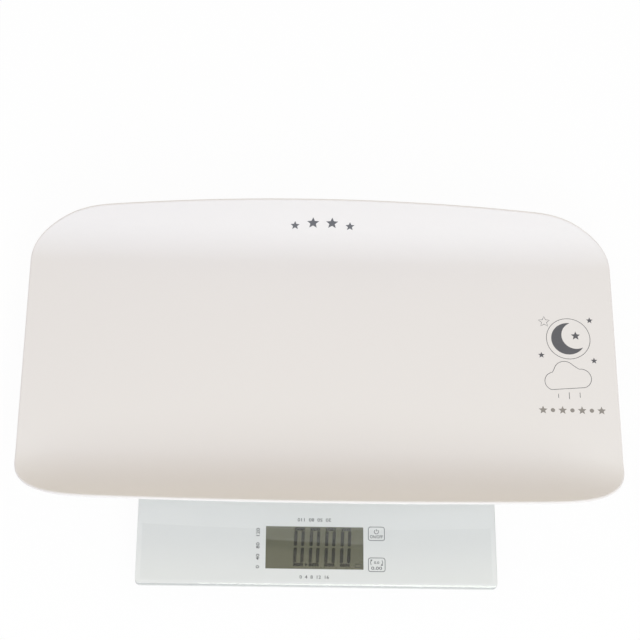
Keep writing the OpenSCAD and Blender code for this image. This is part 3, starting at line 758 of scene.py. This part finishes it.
# %% Geometry Nodes tree for the figures
def figures_tree(material):
    tree = bpy.data.node_groups.new("display_figures", "GeometryNodeTree")
    Field.tree = tree
    sizes = {"Flat Length": DIGIT_WIDTH, "Upright Length": upright_high - upright_low, "Bar Width": BAR_WIDTH,
             "Dot Size": DOT_SIZE, "Tip Share": TIP_SHARE, "Lean": DIGIT_LEAN,
             "Base Line": DIGIT_BASE_Y, "Thickness": INK_THICKNESS}
    group_socket(tree, "Points", "INPUT", "NodeSocketGeometry")
    for name in sizes:
        group_socket(tree, name, "INPUT", "NodeSocketFloat")
    group_socket(tree, "Geometry", "OUTPUT", "NodeSocketGeometry")
    inputs = tree.nodes.new("NodeGroupInput")
    size = {name: Field(inputs.outputs[name]) for name in sizes}

    def position():
        parts = tree.nodes.new("ShaderNodeSeparateXYZ")
        link(tree, tree.nodes.new("GeometryNodeInputPosition").outputs[0], parts.inputs[0])
        return [Field(out) for out in parts.outputs]

    def moved(source, x, y, z):
        place = tree.nodes.new("ShaderNodeCombineXYZ")
        for field, slot in zip((x, y, z), place.inputs):
            link(tree, field.socket, slot)
        shape = tree.nodes.new("GeometryNodeSetPosition")
        link(tree, source, shape.inputs["Geometry"])
        link(tree, place.outputs[0], shape.inputs["Position"])
        return shape.outputs[0]

    def hexagon(length, width, upright):
        """A flat bar with two pointed ends, from a ring of six points."""
        ring = new_node(tree, "GeometryNodeMeshCircle", Vertices=6, Radius=1.0)
        ring.fill_type = "NGON"
        x, y, z = position()
        is_tip = Field.call("GREATER_THAN", Field.call("ABSOLUTE", x), 0.9)
        along = Field.call("SIGN", x) * (length * 0.5 - (1.0 - is_tip) * width * size["Tip Share"])
        across = Field.call("SIGN", y) * (1.0 - is_tip) * width * 0.5
        pair = (across, along) if upright else (along, across)
        return moved(ring.outputs[0], *pair, z)

    kind = tree.nodes.new("GeometryNodeInputNamedAttribute")
    kind.data_type = "INT"
    kind.inputs["Name"].default_value = "kind"
    dot = new_node(tree, "GeometryNodeMeshCircle", Vertices=12)
    dot.fill_type = "NGON"
    link(tree, (size["Dot Size"] * 0.5).socket, dot.inputs["Radius"])
    shapes = {FLAT_BAR: hexagon(size["Flat Length"], size["Bar Width"], False),
              UPRIGHT_BAR: hexagon(size["Upright Length"], size["Bar Width"], True), DOT: dot.outputs[0]}
    together = tree.nodes.new("GeometryNodeJoinGeometry")
    for number, shape in shapes.items():
        chosen = tree.nodes.new("FunctionNodeCompare")
        chosen.data_type = "INT"
        chosen.operation = "EQUAL"
        link(tree, kind.outputs[0], chosen.inputs[2])
        chosen.inputs[3].default_value = number
        spread = tree.nodes.new("GeometryNodeInstanceOnPoints")
        link(tree, inputs.outputs["Points"], spread.inputs["Points"])
        link(tree, chosen.outputs[0], spread.inputs["Selection"])
        link(tree, shape, spread.inputs["Instance"])
        link(tree, spread.outputs[0], together.inputs[0])
    real = tree.nodes.new("GeometryNodeRealizeInstances")
    link(tree, together.outputs[0], real.inputs[0])
    x, y, z = position()
    leaned = moved(real.outputs[0], x + size["Lean"] * (y - size["Base Line"]), y, z)
    raised = tree.nodes.new("GeometryNodeExtrudeMesh")
    raised.inputs["Individual"].default_value = False
    link(tree, leaned, raised.inputs["Mesh"])
    link(tree, size["Thickness"].socket, raised.inputs["Offset Scale"])
    under = tree.nodes.new("GeometryNodeFlipFaces")
    link(tree, leaned, under.inputs[0])
    closed = tree.nodes.new("GeometryNodeJoinGeometry")
    link(tree, raised.outputs[0], closed.inputs[0])
    link(tree, under.outputs[0], closed.inputs[0])
    weld = new_node(tree, "GeometryNodeMergeByDistance", Distance=WELD_WITHIN)
    link(tree, closed.outputs[0], weld.inputs["Geometry"])
    paint = tree.nodes.new("GeometryNodeSetMaterial")
    paint.inputs["Material"].default_value = material
    link(tree, weld.outputs[0], paint.inputs["Geometry"])
    output = tree.nodes.new("NodeGroupOutput")
    link(tree, paint.outputs[0], output.inputs[0])
    return tree, sizes


# %% The figures' mesh
start_mesh = bpy.data.meshes.new("figure_points")
start_mesh.from_pydata([(x, y, digit_z) for x, y, kind in bar_points], [], [])
kinds = start_mesh.attributes.new("kind", "INT", "POINT")
for item, (x, y, kind) in zip(kinds.data, bar_points):
    item.value = kind
tree, sizes = figures_tree(lcd_segment)
figures_mesh = outward(mesh_from_tree("figures", tree, sizes, start_mesh))
figures = plain_object("display_figures", figures_mesh, lcd_segment, "platform", smooth=False)
print("figures:", len(figures_mesh.polygons), "faces")

# %% [markdown]
# ## Printed marks
# The real marks are ink: on the back of the glass, and on the tray. Each mark here is a flat outline
# given a very small thickness, so it is a closed solid. Fills are one outline; lines are a band of
# even width along a path. A place function lays them on the glass print, on the flat of the tray or on
# its curved back wall.

# %% Paths
def arc(x, y, radius, start, end, steps=24):
    """Points on an arc, angles in degrees, both ends included."""
    angles = [math.radians(start + (end - start) * i / steps) for i in range(steps + 1)]
    return [(x + radius * math.cos(a), y + radius * math.sin(a)) for a in angles]


def rounded_box(x0, y0, x1, y1, radius):
    path = []
    for x, y, start in ((x1, y1, 0), (x0, y1, 90), (x0, y0, 180), (x1, y0, 270)):
        centre_x = x - radius if x == x1 else x + radius
        centre_y = y - radius if y == y1 else y + radius
        path += arc(centre_x, centre_y, radius, start, start + 90, 6)
    return path


def star(x, y, radius, points=5, inner=0.45):
    corners = []
    for i in range(2 * points):
        reach = radius if i % 2 == 0 else radius * inner
        angle = math.pi / 2 + math.pi * i / points
        corners.append((x + reach * math.cos(angle), y + reach * math.sin(angle)))
    return corners


def crescent(x, y, radius, bite, shift, turn):
    """A moon: a disc with a second disc of radius bite, moved by shift, taken out of it."""
    reach = (shift * shift + radius * radius - bite * bite) / (2 * shift)
    outer = math.degrees(math.acos(reach / radius))
    inner = math.degrees(math.acos((reach - shift) / bite))
    back = arc(0, 0, radius, outer, 360 - outer, 40)
    front = arc(shift, 0, bite, 360 - inner, inner, 30)[1:-1]
    cos_t, sin_t = math.cos(math.radians(turn)), math.sin(math.radians(turn))
    return [(x + px * cos_t - py * sin_t, y + px * sin_t + py * cos_t) for px, py in back + front]


def band(path, width, closed=False):
    """The two sides of a line of even width along a path."""
    left, right = [], []
    last = len(path) - 1
    for i, here in enumerate(path):
        before = path[i - 1] if i > 0 or closed else here
        after = path[(i + 1) % len(path)] if i < last or closed else here
        way = (Vector(after) - Vector(before)).normalized()
        side = Vector((-way.y, way.x)) * (width / 2)
        left.append(tuple(Vector(here) + side))
        right.append(tuple(Vector(here) - side))
    return left, right


# %% Marks as thin solids
WORD_WEIGHT = 0.012
INK_MERGE = 1e-7


class Marks:
    """Collects flat shapes, given in millimetres, as thin closed solids on a surface."""

    def __init__(self, place, thickness):
        self.work = bmesh.new()
        self.place = place
        self.thickness = thickness

    def loop(self, path, height):
        return [self.work.verts.new(self.place(x * MM, y * MM, height)) for x, y in path]

    def sides(self, low, high):
        for i in range(len(low)):
            j = (i + 1) % len(low)
            self.work.faces.new((low[i], low[j], high[j], high[i]))

    def fill(self, path):
        low, high = self.loop(path, 0.0), self.loop(path, self.thickness)
        self.work.faces.new(high)
        self.work.faces.new(low[::-1])
        self.sides(low, high)

    def ring(self, path, width):
        """A closed line."""
        left, right = band(path, width, True)
        inner_low, inner_high = self.loop(left, 0.0), self.loop(left, self.thickness)
        outer_low, outer_high = self.loop(right, 0.0), self.loop(right, self.thickness)
        self.sides(outer_low, outer_high)
        self.sides(inner_high, inner_low)
        self.sides(outer_high, inner_high)
        self.sides(inner_low, outer_low)

    def line(self, path, width):
        left, right = band(path, width)
        low_left, high_left = self.loop(left, 0.0), self.loop(left, self.thickness)
        low_right, high_right = self.loop(right, 0.0), self.loop(right, self.thickness)
        rows = list(zip(low_right, high_right, high_left, low_left))
        for row, after in zip(rows, rows[1:]):
            for i in range(4):
                j = (i + 1) % 4
                self.work.faces.new((row[i], after[i], after[j], row[j]))
        self.work.faces.new(rows[0])
        self.work.faces.new(rows[-1][::-1])

    def write(self, words, x, y, width, height, turn=0.0):
        """Plain words or figures centred on a point, fitted to a width and a height."""
        curve = bpy.data.curves.new("words", "FONT")
        curve.body = words
        curve.extrude = 0.5
        curve.offset = WORD_WEIGHT
        curve.resolution_u = 3
        holder = bpy.data.objects.new("words", curve)
        bpy.context.scene.collection.objects.link(holder)
        graph = bpy.context.evaluated_depsgraph_get()
        mesh = bpy.data.meshes.new_from_object(holder.evaluated_get(graph))
        bpy.data.objects.remove(holder)
        xs = [v.co.x for v in mesh.vertices]
        ys = [v.co.y for v in mesh.vertices]
        grow_x = width / (max(xs) - min(xs))
        grow_y = height / (max(ys) - min(ys))
        middle = Vector(((max(xs) + min(xs)) / 2, (max(ys) + min(ys)) / 2))
        cos_t, sin_t = math.cos(math.radians(turn)), math.sin(math.radians(turn))
        for vertex in mesh.vertices:
            across = (vertex.co.x - middle.x) * grow_x
            up = (vertex.co.y - middle.y) * grow_y
            flat = (x + across * cos_t - up * sin_t, y + across * sin_t + up * cos_t)
            vertex.co = self.place(flat[0] * MM, flat[1] * MM, (vertex.co.z + 0.5) * self.thickness)
        self.work.from_mesh(mesh)

    def finish(self, name, material, body, slot):
        mesh = bpy.data.meshes.new(name)
        self.work.to_mesh(mesh)
        self.work.free()
        outward(mesh, INK_MERGE)
        obj = plain_object(name, mesh, material, body, smooth=False)
        print(name + ":", len(mesh.polygons), "faces")
        return obj


# %% Marks on the glass print
def on_print(x, y, height):
    """A point on the print under the glass, from millimetres off the plate's front edge middle."""
    return (plate_x + x, plate_front + y, backing_high.z + INK_LIFT + height)


KEY_LINE = 0.55
SYMBOL_LINE = 0.5
marks = Marks(on_print, INK_THICKNESS)
marks.ring(rounded_box(46.0, 42.4, 60.4, 54.9, 2.0), KEY_LINE)
marks.ring(rounded_box(45.9, 13.9, 60.7, 26.4, 2.0), KEY_LINE)
marks.line(arc(53.2, 50.5, 1.9, 125, 415), SYMBOL_LINE)
marks.line([(53.2, 50.9), (53.2, 52.9)], SYMBOL_LINE)
marks.write("ON/OFF", 53.2, 45.9, 11.4, 2.9)
marks.line(arc(51.0, 22.1, 3.2, 140, 220, 10), SYMBOL_LINE)
marks.line(arc(55.4, 22.1, 3.2, -40, 40, 10), SYMBOL_LINE)
marks.fill([(47.4, 24.7), (49.6, 24.9), (48.6, 23.1)])
marks.fill([(59.0, 19.5), (56.8, 19.3), (57.8, 21.1)])
marks.write("0.0", 53.2, 22.1, 4.6, 2.4)
marks.write("0.00", 53.2, 17.0, 9.6, 2.9)
marks.write("0  4  8  12  16", -2.2, 8.2, 26.0, 3.1)
marks.write("20  50  80  110", -2.3, 60.7, 30.0, 3.1, turn=180)
marks.write("0   40   80   120", -52.5, 34.0, 37.0, 3.1, turn=90)
marks.finish("glass_marks", grey_ink, "platform", "white_print")

# %% Marks on the display
def on_display(x, y, height):
    return (plate_x + x, plate_front + y, digit_z + height)


display_marks = Marks(on_display, INK_THICKNESS)
display_marks.ring(rounded_box(34.2, 17.6, 39.4, 20.6, 0.6), 0.45)
display_marks.finish("display_marks", lcd_segment, "platform", "lcd_glass")

# %% Marks on the tray
TRAY_INK = 0.04 * MM
INK_SINK = 0.01 * MM
WALL_INK = 0.10 * MM
PICTURE_LINE = 0.55


def on_flat(x, y, height):
    return (x, y, LYING_Z - INK_SINK + height)


def on_back_wall(x, up, height):
    """A point on the curved back wall: up is the way from the wall's foot, measured along the wall."""
    radius = arc_radius(BACK_RUN)
    angle = min(up / radius, WALL_ANGLE)
    beyond = max(up - radius * WALL_ANGLE, 0.0)
    height = height - INK_SINK
    y = back_toe + radius * math.sin(angle) + beyond * math.cos(angle) - height * math.sin(angle)
    z = LYING_Z + radius * (1 - math.cos(angle)) + beyond * math.sin(angle) + height * math.cos(angle)
    return (x, y, z)


cloud = arc(216, 14, 9.0, 250, 100, 14) + arc(226, 24, 10.0, 165, 40, 14) + arc(241, 17, 9.5, 100, -70, 14)
picture_lines = Marks(on_flat, TRAY_INK)
picture_lines.ring(cloud, PICTURE_LINE)
picture_lines.ring(arc(231, 57, 20.5, 0, 352, 44), PICTURE_LINE)
picture_lines.line([(219, 1.5), (219, -2.5)], PICTURE_LINE)
picture_lines.line([(229, 3.0), (229, -3.5)], PICTURE_LINE)
picture_lines.line([(239, 3.0), (239, -2.0)], PICTURE_LINE)
picture_lines.ring(star(209, 74, 5.5), PICTURE_LINE)
picture_lines.finish("picture_lines", grey_ink, "tray", "tray_plastic")

picture_fills = Marks(on_flat, TRAY_INK)
picture_fills.fill(crescent(231, 57, 16.0, 13.5, 8.0, 25))
picture_fills.fill(star(238, 60, 4.5))
for x, y in ((252, 76), (205, 40), (254, 35)):
    picture_fills.fill(star(x, y, 3.2))
picture_fills.finish("picture_fills", dark_ink, "tray", "tray_plastic")

ROW_X, ROW_Y, ROW_STEP, ROW_COUNT = 204.0, -14.7, 9.0, 7
row_marks = Marks(on_flat, TRAY_INK)
for i in range(ROW_COUNT):
    if i % 2:
        row_marks.fill(arc(ROW_X + i * ROW_STEP, ROW_Y, 2.0, 0, 345, 23))
    else:
        row_marks.fill(star(ROW_X + i * ROW_STEP, ROW_Y, 4.2))
row_marks.finish("row_marks", soft_ink, "tray", "tray_plastic")

wall_marks = Marks(on_back_wall, WALL_INK)
for x, up, reach in ((-26, 37, 4.5), (-9, 40, 6.0), (9, 40, 6.0), (26, 37, 4.5)):
    wall_marks.fill(star(x, up, reach))
wall_marks.finish("wall_marks", dark_ink, "tray", "tray_plastic")

# %% Finishes of the solid pieces
piece_finish = {
    "tray_frame": tray_plastic, "tray_pad": grey_rubber, "white_backing": white_print,
    "bond_tape": white_foam, "base_housing": base_plastic, "display_frame": black_plastic,
    "zebra_strips": carbon_rubber, "controller_chip": black_plastic, "touch_pad": carbon_rubber,
    "unit_switch": black_plastic, "board_screws": plain_steel, "load_cell": plain_steel,
    "cell_retainer": base_plastic, "strain_gauges": gauge_epoxy, "cell_wire": black_wire,
    "battery_springs": plain_steel, "battery_plates": plain_steel, "battery_front": battery_jacket,
    "battery_middle": battery_jacket, "battery_rear": battery_jacket, "lcd_panel": lcd_glass,
    "circuit_board": circuit_green, "battery_lead_red": red_wire, "battery_lead_black": black_wire,
    "foot_sole": grey_rubber, "foot_ring": plain_steel, "foot": base_plastic,
    "battery_door": base_plastic, "unit_button": base_plastic}


def finish_for(name):
    """The finish whose key is the longest start of a node's name."""
    keys = [k for k in piece_finish if name.startswith(k)]
    return piece_finish[max(keys, key=len)] if keys else None


for name, obj in nodes.items():
    material = finish_for(name)
    if material:
        obj.data.materials.clear()
        obj.data.materials.append(material)
